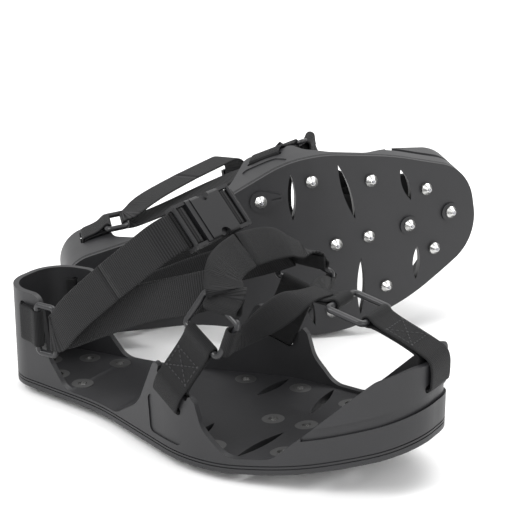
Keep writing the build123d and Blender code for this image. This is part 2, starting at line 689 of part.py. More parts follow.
def lying_frame():
    """Frame of the left cleat's own axes, before it is set down on the ground."""
    yaw, pitch = math.radians(LYING_YAW), math.radians(LYING_PITCH)
    toe = (math.cos(yaw) * math.cos(pitch), math.sin(yaw) * math.cos(pitch), math.sin(pitch))
    return Plane(LYING_PLACE, x_dir=toe, z_dir=(-math.sin(yaw), math.cos(yaw), 0))


def placements(cleat):
    """Location of each cleat in the pair's frame, whose origin is the middle of its base."""
    lying = lying_frame().location
    drop = -min((lying * piece).bounding_box().min.Z for piece in cleat.values())
    lying = Pos(0, 0, drop) * lying
    boxes = [piece.bounding_box() for piece in cleat.values()]
    boxes += [(lying * piece).bounding_box() for piece in cleat.values()]
    low = [min(getattr(b.min, a) for b in boxes) for a in "XYZ"]
    high = [max(getattr(b.max, a) for b in boxes) for a in "XYZ"]
    centre = Pos(-(low[0] + high[0]) / 2, -(low[1] + high[1]) / 2, -low[2])
    return {"right": centre, "left": centre * lying}


def main():
    """Write one STEP file per piece of the pair."""
    os.makedirs("parts", exist_ok=True)
    cleat = make_cleat()
    for side, place in placements(cleat).items():
        for name, piece in cleat.items():
            export_step(place * piece, f"parts/{side}_{name}.step")


if __name__ == "__main__":
    main()
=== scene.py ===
# %% [markdown]
# A pair of strap-on ice cleats: rubber overshoes with steel studs, held on a boot by a webbing harness.
# The solid model gives every hard piece at its real place. This lesson gives those pieces their finishes
# and remakes the soft webbing, whose rounded edges, folds and ribs a plain solid doesn't have.

# %% Load the solid model
import json
import math
import bpy
import bmesh
import numpy as np
from mathutils import Matrix, Vector


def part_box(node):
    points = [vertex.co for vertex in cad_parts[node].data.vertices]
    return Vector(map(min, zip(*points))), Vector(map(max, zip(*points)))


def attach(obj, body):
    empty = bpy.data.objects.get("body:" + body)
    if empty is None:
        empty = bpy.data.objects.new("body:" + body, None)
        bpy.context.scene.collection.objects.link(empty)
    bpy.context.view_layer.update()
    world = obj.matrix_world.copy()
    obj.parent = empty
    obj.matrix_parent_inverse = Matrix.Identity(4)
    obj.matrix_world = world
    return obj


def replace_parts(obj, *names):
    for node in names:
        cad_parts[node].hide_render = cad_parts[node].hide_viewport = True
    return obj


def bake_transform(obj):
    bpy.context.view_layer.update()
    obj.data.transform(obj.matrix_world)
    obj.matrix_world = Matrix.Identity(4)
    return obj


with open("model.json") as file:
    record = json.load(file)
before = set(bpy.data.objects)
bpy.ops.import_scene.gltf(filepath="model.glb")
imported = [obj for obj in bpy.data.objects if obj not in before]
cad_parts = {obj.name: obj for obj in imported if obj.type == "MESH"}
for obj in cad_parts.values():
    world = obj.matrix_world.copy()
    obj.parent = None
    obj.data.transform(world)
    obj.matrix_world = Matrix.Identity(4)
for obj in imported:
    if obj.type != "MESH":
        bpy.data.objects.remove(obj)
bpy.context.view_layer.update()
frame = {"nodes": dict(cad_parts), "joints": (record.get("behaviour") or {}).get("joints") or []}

NODES = frame["nodes"]
SIDES = ("right", "left")

# %% [markdown]
# Both cleats are the same object in two places. A cleat's own frame has its toe along +X, its outer side
# along -Y and its stud tips at Z = 0, in millimetres. The upright one is only shifted. The one on its side
# is turned by a yaw and a pitch, and its shift is found from where its sole lies.

# %% Find each cleat's own frame
MM = 0.001
LYING_YAW = math.radians(42.0)
LYING_PITCH = math.radians(9.5)


def vertices(name):
    """A node's vertices as an array, in metres."""
    mesh = NODES[name].data
    flat = np.zeros(len(mesh.vertices) * 3, np.float32)
    mesh.vertices.foreach_get("co", flat)
    return flat.reshape(-1, 3).astype(float)


def cleat_frames():
    """Matrix from each cleat's millimetres to the scene's metres."""
    low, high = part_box("right_sole")
    right = Matrix.Translation(((low.x + high.x) / 2, (low.y + high.y) / 2, 0))
    level = math.cos(LYING_PITCH)
    toe = Vector((math.cos(LYING_YAW) * level, math.sin(LYING_YAW) * level, math.sin(LYING_PITCH)))
    up = Vector((-math.sin(LYING_YAW), math.cos(LYING_YAW), 0))
    turn = Matrix((toe, up.cross(toe), up)).transposed()
    local = vertices("right_sole") - np.array(right.translation)
    turned = local @ np.array(turn).T
    left_low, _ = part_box("left_sole")
    left = Matrix.Translation(np.array(left_low) - turned.min(0)) @ turn.to_4x4()
    scale = Matrix.Scale(MM, 4)
    return {"right": right @ scale, "left": left @ scale}


FRAMES = cleat_frames()
MIRROR = Matrix.Diagonal((1, -1, 1, 1))
print("left cleat's origin", FRAMES["left"].translation)

# %% [markdown]
# The rings hang in the folds of the webbing, so the bars of the rings say where every strap starts.
# Each ring turns about the bar that its stub holds, and that joint's place and axis are in the model.

# %% Read the rings' bars from the model
JOINTS = {joint["name"]: joint for joint in frame["joints"]}
TO_CLEAT = FRAMES["right"].inverted()


def joint_place(name):
    """A joint's place and axis in the cleat's own frame."""
    joint = JOINTS["right_" + name]
    return TO_CLEAT @ Vector(joint["pos_m"]), Vector(joint["axis"]).normalized()


def middle(name):
    """The middle of a node's box in the cleat's own frame."""
    low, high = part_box("right_" + name)
    return TO_CLEAT @ ((low + high) / 2)


SIDE_BAR, SIDE_ALONG = joint_place("outer_side_ring_hinge")
if SIDE_ALONG.x < 0:
    SIDE_ALONG = -SIDE_ALONG
SIDE_MIDDLE = middle("outer_side_ring")
SIDE_TOP = 2 * SIDE_MIDDLE - SIDE_BAR
SIDE_UP = (SIDE_TOP - SIDE_BAR).normalized()
TOE_BAR, _ = joint_place("toe_ring_hinge")
TOE_REAR = 2 * middle("toe_ring") - TOE_BAR
HEEL_BAR, _ = joint_place("outer_heel_ring_hinge")
HEEL_FRONT = 2 * middle("outer_heel_ring") - HEEL_BAR
RING_HALF_WIDTH = 17.0
SIDE_FRONT = SIDE_MIDDLE + SIDE_ALONG * RING_HALF_WIDTH
print("side ring", SIDE_BAR, SIDE_TOP, "toe ring", TOE_BAR, TOE_REAR, "heel ring", HEEL_FRONT)

# %% [markdown]
# Shared effects are node groups. Grain is the fine skin of moulded rubber or plastic. It reads Object
# coordinates, so it stays with the piece. Weave is the ribbed face of webbing, which follows each
# strap's own map, and it also gives painted light: lighter on the ribs, painted shade in the grooves.
# Pictures of cloth would do too, but a pattern made of nodes has no seams and no files.

# %% Helpers for node trees
def group_tree(name, inputs, outputs):
    """A new shader group with float or vector inputs and float outputs."""
    tree = bpy.data.node_groups.new(name, "ShaderNodeTree")
    for label, kind, value in inputs:
        socket = tree.interface.new_socket(label, in_out="INPUT", socket_type=kind)
        if value is not None:
            socket.default_value = value
    for label, kind in outputs:
        tree.interface.new_socket(label, in_out="OUTPUT", socket_type=kind)
    return tree, tree.nodes.new("NodeGroupInput"), tree.nodes.new("NodeGroupOutput")


def math_node(tree, operation, first, second=None):
    """A Math node fed by sockets or numbers; gives its output."""
    node = tree.nodes.new("ShaderNodeMath")
    node.operation = operation
    for socket, value in zip(node.inputs, (first, second)):
        if value is None:
            continue
        if isinstance(value, (int, float)):
            socket.default_value = value
        else:
            tree.links.new(value, socket)
    return node.outputs[0]


def noise(tree, vector, scale, detail=3.0, roughness=0.5):
    """A noise texture's value."""
    node = tree.nodes.new("ShaderNodeTexNoise")
    node.inputs["Detail"].default_value = detail
    node.inputs["Roughness"].default_value = roughness
    if isinstance(scale, (int, float)):
        node.inputs["Scale"].default_value = scale
    else:
        tree.links.new(scale, node.inputs["Scale"])
    tree.links.new(vector, node.inputs["Vector"])
    return node.outputs["Fac"]


# %% The grain and weave groups
RIB_SHARE = 0.75
# How sharply the painted light falls from the rib tops into the painted shade of the grooves.
PAINTED_LIGHT_CURVE = 1.4


def make_grain():
    """Fine moulded skin: a height and a slow blotch for roughness."""
    tree, source, sink = group_tree("moulded_grain", [("Vector", "NodeSocketVector", None),
                                                     ("Grain Scale", "NodeSocketFloat", 1800.0),
                                                     ("Blotch Scale", "NodeSocketFloat", 35.0)],
                                    [("Height", "NodeSocketFloat"), ("Blotch", "NodeSocketFloat")])
    fine = noise(tree, source.outputs["Vector"], source.outputs["Grain Scale"], 2.0)
    slow = noise(tree, source.outputs["Vector"], source.outputs["Blotch Scale"], 4.0, 0.6)
    tree.links.new(fine, sink.inputs["Height"])
    tree.links.new(slow, sink.inputs["Blotch"])
    return tree


def ridges(tree, count):
    """A rounded ridge for each whole number."""
    turns = math_node(tree, "MULTIPLY", count, math.pi)
    return math_node(tree, "ABSOLUTE", math_node(tree, "SINE", turns))


def make_weave():
    """Webbing read from a strap's own map: ribs across it and a finer weft along it, with a painted
    highlight on the ribs and painted shade in the grooves.
    """
    tree, source, sink = group_tree("webbing_weave", [("Vector", "NodeSocketVector", None),
                                                     ("Rib Pitch", "NodeSocketFloat", 1.25),
                                                     ("Yarn Pitch", "NodeSocketFloat", 0.9)],
                                    [("Height", "NodeSocketFloat"), ("Painted Rib Light", "NodeSocketFloat")])
    split = tree.nodes.new("ShaderNodeSeparateXYZ")
    tree.links.new(source.outputs["Vector"], split.inputs[0])
    ribs = math_node(tree, "DIVIDE", split.outputs["X"], source.outputs["Rib Pitch"])
    yarns = math_node(tree, "DIVIDE", split.outputs["Y"], source.outputs["Yarn Pitch"])
    half_steps = math_node(tree, "MULTIPLY", math_node(tree, "FLOOR", ribs), 0.5)
    rib = ridges(tree, ribs)
    yarn = ridges(tree, math_node(tree, "ADD", yarns, half_steps))
    high = math_node(tree, "ADD", math_node(tree, "MULTIPLY", rib, RIB_SHARE),
                     math_node(tree, "MULTIPLY", yarn, 1 - RIB_SHARE))
    tree.links.new(high, sink.inputs["Height"])
    # Painted light: the raised ribs and yarns get a lighter colour and the grooves a darker one, a painted
    # highlight and painted shade.
    tree.links.new(math_node(tree, "POWER", high, PAINTED_LIGHT_CURVE), sink.inputs["Painted Rib Light"])
    return tree


GRAIN = make_grain()
WEAVE = make_weave()
print("groups", GRAIN.name, WEAVE.name)

# %% [markdown]
# Each finish keeps its own shader and takes its pattern from a group. Rubber is a soft near-black with a
# dull gloss. Webbing is blacker, and its ribs are painted lighter than the grooves between them: a painted
# highlight on the ribs and painted shade in the grooves. The studs are bright turned steel.


# %% Build a material around one shader
def shader_material(name, color, roughness, metallic=0.0, gloss=0.5):
    """A material with a Principled shader and its coordinates."""
    material = bpy.data.materials.new(name)
    material.use_nodes = True
    tree = material.node_tree
    shader = tree.nodes["Principled BSDF"]
    shader.inputs["Base Color"].default_value = (*color, 1)
    shader.inputs["Roughness"].default_value = roughness
    shader.inputs["Metallic"].default_value = metallic
    shader.inputs["Specular IOR Level"].default_value = gloss
    return material, tree, shader, tree.nodes.new("ShaderNodeTexCoord")


def blend_color(tree, shader, factor, dark, light):
    """Colour between two by a factor."""
    mix = tree.nodes.new("ShaderNodeMix")
    mix.data_type = "RGBA"
    mix.inputs["A"].default_value = (*dark, 1)
    mix.inputs["B"].default_value = (*light, 1)
    tree.links.new(factor, mix.inputs["Factor"])
    tree.links.new(mix.outputs["Result"], shader.inputs["Base Color"])


def map_roughness(tree, shader, factor, low, high):
    """Roughness between two values by a factor."""
    span = tree.nodes.new("ShaderNodeMapRange")
    span.inputs["To Min"].default_value = low
    span.inputs["To Max"].default_value = high
    tree.links.new(factor, span.inputs["Value"])
    tree.links.new(span.outputs["Result"], shader.inputs["Roughness"])


def bump(tree, shader, height, strength, distance):
    """Relief from a height, in metres."""
    node = tree.nodes.new("ShaderNodeBump")
    node.inputs["Strength"].default_value = strength
    node.inputs["Distance"].default_value = distance
    tree.links.new(height, node.inputs["Height"])
    tree.links.new(node.outputs["Normal"], shader.inputs["Normal"])


def moulded(name, dark, light, rough_low, rough_high, grain, relief, gloss):
    """Moulded rubber or plastic."""
    material, tree, shader, coordinates = shader_material(name, dark, rough_low, gloss=gloss)
    skin = tree.nodes.new("ShaderNodeGroup")
    skin.node_tree = GRAIN
    skin.inputs["Grain Scale"].default_value = grain
    tree.links.new(coordinates.outputs["Object"], skin.inputs["Vector"])
    blend_color(tree, shader, skin.outputs["Blotch"], dark, light)
    map_roughness(tree, shader, skin.outputs["Blotch"], rough_low, rough_high)
    bump(tree, shader, skin.outputs["Height"], 0.5, relief)
    return material


def metal(name, dark, light, rough_low, rough_high, turning=5000.0):
    """Worn metal with fine turning marks."""
    material, tree, shader, coordinates = shader_material(name, dark, rough_low, 1.0)
    marks = noise(tree, coordinates.outputs["Object"], turning, 4.0, 0.7)
    blend_color(tree, shader, marks, dark, light)
    map_roughness(tree, shader, marks, rough_low, rough_high)
    bump(tree, shader, marks, 0.2, 0.00001)
    return material


def webbing(name, dark, light, rib, yarn):
    """Woven webbing whose ribs follow the strap's own map, in millimetres, with its colour painted lighter
    on the ribs and darker in the grooves.
    """
    material, tree, shader, coordinates = shader_material(name, dark, 0.75, gloss=0.2)
    weave = tree.nodes.new("ShaderNodeGroup")
    weave.node_tree = WEAVE
    weave.inputs["Rib Pitch"].default_value = rib
    weave.inputs["Yarn Pitch"].default_value = yarn
    tree.links.new(coordinates.outputs["UV"], weave.inputs["Vector"])
    # The base colour carries a painted highlight on the rib tops and painted shade in the grooves.
    blend_color(tree, shader, weave.outputs["Painted Rib Light"], dark, light)
    map_roughness(tree, shader, weave.outputs["Painted Rib Light"], 0.9, 0.6)
    bump(tree, shader, weave.outputs["Height"], 0.9, 0.0004)
    shader.inputs["Sheen Weight"].default_value = 0.03
    shader.inputs["Sheen Roughness"].default_value = 0.5
    return material


# %% The finishes of this object
RUBBER = moulded("sole_rubber", (0.012, 0.012, 0.013), (0.020, 0.020, 0.022), 0.40, 0.55,
                 grain=900.0, relief=0.00008, gloss=0.42)
PLASTIC = moulded("buckle_plastic", (0.006, 0.006, 0.007), (0.010, 0.010, 0.011), 0.30, 0.42,
                  grain=2200.0, relief=0.00004, gloss=0.35)
COATED = moulded("ring_coating", (0.010, 0.010, 0.011), (0.018, 0.018, 0.020), 0.25, 0.38,
                 grain=1500.0, relief=0.00004, gloss=0.45)
STEEL = metal("stud_steel", (0.55, 0.55, 0.54), (0.78, 0.78, 0.76), 0.18, 0.34)
INSERT = metal("insert_steel", (0.12, 0.12, 0.12), (0.20, 0.20, 0.20), 0.40, 0.55)
CARBIDE = metal("tip_carbide", (0.22, 0.22, 0.24), (0.36, 0.36, 0.38), 0.22, 0.36)
# Each webbing's dark colour is the painted shade of its grooves and its light colour the painted highlight
# of its ribs.
COARSE = webbing("coarse_webbing", (0.002, 0.002, 0.002), (0.014, 0.014, 0.015), rib=1.7, yarn=1.3)
FINE = webbing("fine_webbing", (0.002, 0.002, 0.002), (0.011, 0.011, 0.012), rib=0.75, yarn=0.75)


def thread():
    """Black nylon thread, a little shinier than the webbing."""
    black = (0.022, 0.022, 0.024)
    material, tree, shader, coordinates = shader_material("stitch_thread", black, 0.5, gloss=0.4)
    bump(tree, shader, noise(tree, coordinates.outputs["Object"], 4000.0), 0.4, 0.00005)
    return material


THREAD = thread()
print("materials", [material.name for material in bpy.data.materials])

# %% [markdown]
# The hard pieces keep their solid shapes, whose edges are already rounded, and only need a finish.
# Remaking them here could round them further, but then they would no longer be the measured pieces.

# %% Give the solid nodes their finishes
FINISH = {
    "sole": RUBBER, "stud_inserts": INSERT, "stud_bodies": STEEL, "stud_tips": CARBIDE,
    "outer_side_ring": COATED, "inner_side_ring": COATED, "toe_ring": COATED,
    "outer_heel_ring": COATED, "inner_heel_ring": COATED,
    "buckle_male": PLASTIC, "buckle_female": PLASTIC,
    "buckle_prong_upper": PLASTIC, "buckle_prong_lower": PLASTIC,
}


def finish_node(name, material):
    """One material in every slot of a node."""
    for slot in NODES[name].material_slots:
        slot.material = material


for side in SIDES:
    for label, material in FINISH.items():
        finish_node(f"{side}_{label}", material)
print("finished nodes", len(FINISH) * len(SIDES))

# %% [markdown]
# A strap is a path of stations. Each has a centre and the direction across the strap. Cutting the path's
# corners twice rounds every fold. The section is a flat bar with rounded edges, and the strap's own map
# holds millimetres along and across it, which is what the weave reads.

# %% Make a strap's mesh from stations
WIDE = 25.4
NARROW = 19.0
THICK = 1.6
BAR_CLEARANCE_RADIUS = 2.4
EYE = BAR_CLEARANCE_RADIUS + THICK / 2
STATION_STEP = 4.0


def rounded(path, closed, rounds):
    """Cut a path's corners; the ends of an open path stay."""
    for _ in range(rounds):
        after = np.roll(path, -1, axis=0)
        near, far = 0.75 * path + 0.25 * after, 0.25 * path + 0.75 * after
        cut = np.stack([near, far], axis=1).reshape(-1, path.shape[1])
        path = cut if closed else np.vstack([path[:1], cut[1:-3], path[-1:]])
    return path


def denser(path, closed, step):
    """Add points on long runs."""
    rows = []
    count = len(path)
    for i in range(count if closed else count - 1):
        start, end = path[i], path[(i + 1) % count]
        parts = max(1, int(np.linalg.norm(end[:3] - start[:3]) / step))
        rows += [start + (end - start) * k / parts for k in range(parts)]
    if not closed:
        rows.append(path[-1])
    return np.array(rows)


def strap_section(width):
    """Points round a strap's section: across and out of it."""
    half, thin = width / 2, THICK / 2
    quarter = [(half - 2.4 * thin, thin), (half - thin, 0.92 * thin),
               (half - 0.3 * thin, 0.6 * thin), (half, 0.0)]
    right = quarter + [(a, -b) for a, b in quarter[-2::-1]]
    return right + [(-a, b) for a, b in right[::-1]]


def strap_mesh(name, stations, width, closed=False, rounds=3):
    """A strap through stations of (centre, across), with its map in millimetres."""
    path = np.array([[*centre, *across] for centre, across in stations], float)
    path = denser(rounded(path, closed, rounds), closed, STATION_STEP)
    count = len(path)
    mesh_maker = bmesh.new()
    layer = mesh_maker.loops.layers.uv.new("strap")
    section = strap_section(width)
    rings, along = [], [0.0]
    for i in range(count):
        ahead = path[(i + 1) % count] if closed else path[min(i + 1, count - 1)]
        behind = path[i - 1] if closed else path[max(i - 1, 0)]
        run = Vector(ahead[:3] - behind[:3]).normalized()
        across = Vector(path[i][3:])
        across = (across - run * across.dot(run)).normalized()
        out = across.cross(run)
        centre = Vector(path[i][:3])
        rings.append([mesh_maker.verts.new(centre + across * a + out * b) for a, b in section])
        along.append(along[-1] + float(np.linalg.norm(ahead[:3] - path[i][:3])))
    size = len(section)
    for i in range(count if closed else count - 1):
        for k in range(size):
            corners = [(rings[i][k], along[i], k), (rings[i][(k + 1) % size], along[i], (k + 1) % size),
                       (rings[(i + 1) % count][(k + 1) % size], along[i + 1], (k + 1) % size),
                       (rings[(i + 1) % count][k], along[i + 1], k)]
            face = mesh_maker.faces.new([c[0] for c in corners])
            face.smooth = True
            for loop, corner in zip(face.loops, corners):
                loop[layer].uv = (corner[1], section[corner[2]][0])
    if not closed:
        mesh_maker.faces.new(rings[0][::-1])
        mesh_maker.faces.new(rings[-1])
    bmesh.ops.recalc_face_normals(mesh_maker, faces=mesh_maker.faces)
    mesh = bpy.data.meshes.new(name)
    mesh_maker.to_mesh(mesh)
    mesh_maker.free()
    return mesh


# %% Put a mesh on one cleat, mirrored for its inner side
def place_piece(name, mesh, side, mirrored, material):
    """A copy of a cleat-frame mesh, in the scene's metres."""
    copy = mesh.copy()
    copy.name = name
    copy.transform(FRAMES[side] @ MIRROR if mirrored else FRAMES[side])
    if mirrored:
        copy.flip_normals()
    copy.materials.clear()
    copy.materials.append(material)
    piece = bpy.data.objects.new(name, copy)
    bpy.context.scene.collection.objects.link(piece)
    return piece


def angles(*degrees):
    """Angles in radians."""
    return [math.radians(degree) for degree in degrees]


FOLD_TURN = angles(-15, 20, 55, 90, 125, 160, 195)


def belt(centre, direction, outward, start, tail):
    """Belt round a bar: out along one layer, round the eye, back along the other, in its own plane."""
    turn = [centre + (outward * math.cos(a) + direction * math.sin(a)) * EYE
            for a in angles(-15, 15, 45, 75, 105, 135, 165, 195)]
    layer = THICK / 2 + 0.05
    return ([start + outward * layer, centre - direction * 6 + outward * layer] + turn
            + [centre - direction * 6 - outward * layer, tail - outward * layer])


# %% [markdown]
# The side stub is one belt: through the slot in the rubber ear, up to the ring's lower bar and back.
# Below the ring its two layers are sewn together. The toe stub goes over the toe cap's rim the same way.

# %% The stubs
EAR_SLOT = Vector((7.63, -63.7, 44.6))
EAR_OUT = Vector((-0.297, -0.955, 0.0))
EAR_LOOP = ((-4.5, 11.6), (-4.5, 0.6), (-3.2, -1.1), (2.2, -1.1), (3.3, 0.4), (3.3, 11.4))
STUB_SEAM = 15.5
EAR_UP = EAR_OUT.cross(SIDE_ALONG).normalized()
if EAR_UP.z < 0:
    EAR_UP = -EAR_UP


def ear_place(out, up):
    """A point of the ear's own plane."""
    return EAR_SLOT + EAR_OUT * out + EAR_UP * up


def side_stub_stations():
    """The belt through the ear's slot and round the side ring's lower bar."""
    sewn = ear_place(0, STUB_SEAM)
    direction = (SIDE_BAR - sewn).normalized()
    outward = SIDE_ALONG.cross(direction)
    if outward.dot(EAR_OUT) < 0:
        outward = -outward
    points = belt(SIDE_BAR, direction, outward, sewn, sewn)
    points += [ear_place(*place) for place in EAR_LOOP]
    return [(point, SIDE_ALONG) for point in points]


ACROSS = Vector((0, 1, 0))
TOE_SEWN = Vector((153.0, 0, 88.1))
TOE_LOOP = ((152.4, 82.0), (152.4, 67.6), (153.8, 66.0), (160.2, 66.0), (161.6, 67.6), (161.6, 84.0))


def toe_stub_stations():
    """The belt through the toe cap's slot, over its rim and round the toe ring's front bar."""
    direction = (TOE_BAR - TOE_SEWN).normalized()
    outward = Vector((-direction.z, 0, direction.x))
    if outward.z < 0:
        outward = -outward
    points = belt(TOE_BAR, direction, outward, TOE_SEWN, TOE_SEWN)
    points += [Vector((x, 0, z)) for x, z in TOE_LOOP]
    return [(point, ACROSS) for point in points]


for side in SIDES:
    body = f"{side}_cleat"
    mesh = strap_mesh("side_stub", side_stub_stations(), WIDE, closed=True)
    for label, mirrored in (("outer", False), ("inner", True)):
        stub = place_piece(f"{side}_{label}_stub_webbing", mesh, side, mirrored, FINE)
        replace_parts(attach(stub, body), f"{side}_{label}_side_stub")
    toe_mesh = strap_mesh("toe_stub", toe_stub_stations(), WIDE, closed=True)
    stub = place_piece(f"{side}_toe_stub_webbing", toe_mesh, side, False, FINE)
    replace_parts(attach(stub, body), f"{side}_toe_stub")
print("stubs made", len(mesh.vertices), "vertices each")

# %% [markdown]
# The heel tab lies flat inside the heel cup, comes out through its slot, goes round the heel ring's rear
# bar and returns through the same slot. The front loop is a short doubled strap behind the toe ring.

# %% The heel tabs and the front loop
HEEL_WALL = Vector((-138.0, -30.62, HEEL_BAR.z))
WALL_RUN = Vector((0.985, -0.174, 0.0))
WALL_OUT = Vector((-0.174, -0.985, 0.0))
TAB_WAY_OUT = ((7, -5.2), (3.5, -5.2), (1.2, -4.6), (0.8, -2), (1.2, 0.6), (3.5, 1.25), (14, 1.3))
TAB_WAY_BACK = ((14, 3.6), (8, 2.9), (1, 2.8), (-0.8, 1.0), (-0.9, -2), (-1.2, -4.6), (-3.5, -5.4),
                (-7, -6.2))
DIAGONAL = 0.72
UPRIGHT = Vector((0, 0, 1))


def heel_place(run, out):
    """A point beside the heel cup's wall, from its slot."""
    return HEEL_WALL + WALL_RUN * run + WALL_OUT * out


def heel_tab_stations():
    """The tab's path seen from above."""
    points = [heel_place(*place) for place in TAB_WAY_OUT]
    points += [HEEL_BAR - WALL_OUT * EYE, HEEL_BAR + (WALL_RUN - WALL_OUT) * DIAGONAL * EYE,
               HEEL_BAR + WALL_RUN * EYE, HEEL_BAR + (WALL_RUN + WALL_OUT) * DIAGONAL * EYE,
               HEEL_BAR + WALL_OUT * EYE]
    points += [heel_place(*place) for place in TAB_WAY_BACK]
    return [(point, UPRIGHT) for point in points]


LOOP_TAIL = TOE_REAR - Vector((22, 0, 0))


def front_loop_stations():
    """The doubled loop behind the toe ring."""
    points = belt(TOE_REAR, Vector((1, 0, 0)), UPRIGHT, LOOP_TAIL, LOOP_TAIL)
    return [(point, ACROSS) for point in points]


for side in SIDES:
    body = f"{side}_cleat"
    mesh = strap_mesh("heel_tab", heel_tab_stations(), WIDE)
    for label, mirrored in (("outer", False), ("inner", True)):
        tab = place_piece(f"{side}_{label}_tab_webbing", mesh, side, mirrored, FINE)
        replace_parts(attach(tab, body), f"{side}_{label}_heel_tab")
    loop_mesh = strap_mesh("front_loop", front_loop_stations(), NARROW)
    loop = place_piece(f"{side}_loop_webbing", loop_mesh, side, False, FINE)
    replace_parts(loop, f"{side}_front_loop")
    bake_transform(loop)
print("tabs and loops made")

# %% [markdown]
# The instep strap runs over the foot from ring to ring. It is made in two halves that meet at the crown,
# one from each side ring. It leaves the ring's bar at a skew, as
# webbing does when its pull isn't square to the bar.

# %% The instep strap
CROWN = Vector((23.0, 0.0, 124.0))
SKEW = 0.5
BEND_ACROSS = Vector((0.87, -0.1, -0.48))
OVER_CROWN = ((6, 0.74, -0.5, (0.80, -0.05, -0.60)), (1.5, 0.39, 1.2, (0.72, 0, -0.69)),
              (0, 0, 2, (0.67, 0, -0.74)))


def skewed(bar, goal, bar_along):
    """Directions of a strap that wraps its bar at a skew: along, across and inwards."""
    run = (goal - bar).normalized()
    square = (run - bar_along * run.dot(bar_along)).normalized()
    lead = (square * (1 - SKEW) + run * SKEW).normalized()
    across = (bar_along - lead * bar_along.dot(lead)).normalized()
    inward = across.cross(lead)
    return lead, across, inward if inward.y > 0 else -inward


def instep_stations():
    """The outer half: folded round the side ring's upper bar and on to the crown."""
    bend = CROWN + Vector((13, 0.87 * SIDE_TOP.y, -6))
    lead, across, inward = skewed(SIDE_TOP, bend, SIDE_ALONG)
    points = [SIDE_TOP + lead * 9.5 + inward * 0.9, SIDE_TOP + lead * 5 + inward * 0.9]
    points += [SIDE_TOP + (inward * math.cos(a) - lead * math.sin(a)) * EYE for a in FOLD_TURN]
    points.append(SIDE_TOP + lead * 5 - inward * 0.9)
    stations = [(point, across) for point in points]
    stations += [(SIDE_TOP + lead * 9 - inward * 0.6, across), (bend + inward * 2, BEND_ACROSS)]
    stations += [(Vector((CROWN.x + x, y * bend.y, CROWN.z + z)), Vector(w)) for x, y, z, w in OVER_CROWN]
    return stations


for side in SIDES:
    mesh = strap_mesh("instep", instep_stations(), WIDE)
    for label, mirrored in (("outer", False), ("inner", True)):
        strap = place_piece(f"{side}_{label}_instep_webbing", mesh, side, mirrored, FINE)
        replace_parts(strap, f"{side}_instep_strap")
        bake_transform(strap)
print("instep strap made", len(mesh.vertices), "vertices a half")

# %% [markdown]
# A front strap is folded round the side ring's front bar and twists a quarter turn on its way to the
# loop, where the outer one is sewn on top and the inner one below.

# %% The front straps

def front_stations(lift):
    """From the fold at the side ring to the seam on the loop."""
    along, flat = Vector((0.35, 0.94, 0)), Vector((-0.94, 0.35, 0))
    seam = LOOP_TAIL + Vector((7, 0, lift))
    direction, across, inward = skewed(SIDE_FRONT, seam - along * 13, SIDE_UP)
    points = [SIDE_FRONT + direction * 10 + inward * 0.9, SIDE_FRONT + direction * 6 + inward * 0.9]
    points += [SIDE_FRONT + (inward * math.cos(a) - direction * math.sin(a)) * EYE for a in FOLD_TURN]
    points += [SIDE_FRONT + direction * 6 - inward * 0.9, SIDE_FRONT + direction * 10 - inward * 0.5]
    stations = [(point, across) for point in points]
    start = points[-1]
    run = seam - along * 13 - start
    stations += [(start + run * 0.4 + Vector((0, -2.5, 0.5)), Vector((0.1, 0.3, 0.95))),
                 (start + run * 0.75 + Vector((0, -1, 1)), Vector((-0.5, 0.4, 0.75))),
                 (seam - along * 13, flat), (seam + along * 3, flat)]
    return stations


for side in SIDES:
    for label, mirrored, lift in (("outer", False, 2.7), ("inner", True, -2.7)):
        mesh = strap_mesh("front", front_stations(lift), NARROW)
        strap = place_piece(f"{side}_{label}_front_webbing", mesh, side, mirrored, FINE)
        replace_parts(strap, f"{side}_{label}_front_strap")
        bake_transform(strap)
print("front straps made")

# %% [markdown]
# The heel strap is one long strap: from under the instep strap back to the heel ring, round its front
# bar, up past the ankle, over a bend and into the buckle's ladder. It is coarser than the others. It is
# split in the middle of its upper run into a lower and an upper part.

# %% The heel straps
BUCKLE_TILT = math.radians(40.0)
BUCKLE_UP = Vector((-math.sin(BUCKLE_TILT), 0, math.cos(BUCKLE_TILT)))
BUCKLE_OUT = Vector((math.cos(BUCKLE_TILT), 0, math.sin(BUCKLE_TILT)))
BUCKLE_CENTRE = Vector((-4.0, 0.0, 143.0))
LADDER_BAR = -23.1
STRAP_SIDE = -46.0
STRAP_OUT = -0.9
BEND = 14.0
SPLIT_UP = (STRAP_SIDE, 0, -60)
RISING = (-0.43, 0, 0.9)


def buckle_place(across, up, out):
    """A point from the buckle's own directions."""
    return BUCKLE_CENTRE + ACROSS * across + BUCKLE_UP * up + BUCKLE_OUT * out


def heel_lower_stations():
    """From under the instep strap to the heel ring and half way up again."""
    tucked = SIDE_TOP + Vector((-12.5, 11, 7))
    bar = HEEL_FRONT
    stations = [(tucked, (-0.4, 0.45, 0.8)), (tucked + Vector((-21, -2.5, -8.5)), (-0.42, 0.2, 0.88)),
                (bar + Vector((78, -1, 38)), RISING), (bar + Vector((34, EYE, 16)), RISING),
                (bar + Vector((5, EYE + 0.3, 0.7)), UPRIGHT)]
    stations += [(bar + Vector((-EYE * math.sin(a), EYE * math.cos(a), 0)), UPRIGHT)
                 for a in angles(-10, 25, 60, 90, 120, 155, 190)]
    stations += [(bar + Vector((5, -EYE - 0.3, 1.5)), UPRIGHT),
                 (buckle_place(STRAP_SIDE + 1, -1, -104), BUCKLE_UP), (buckle_place(*SPLIT_UP), BUCKLE_UP)]
    return stations


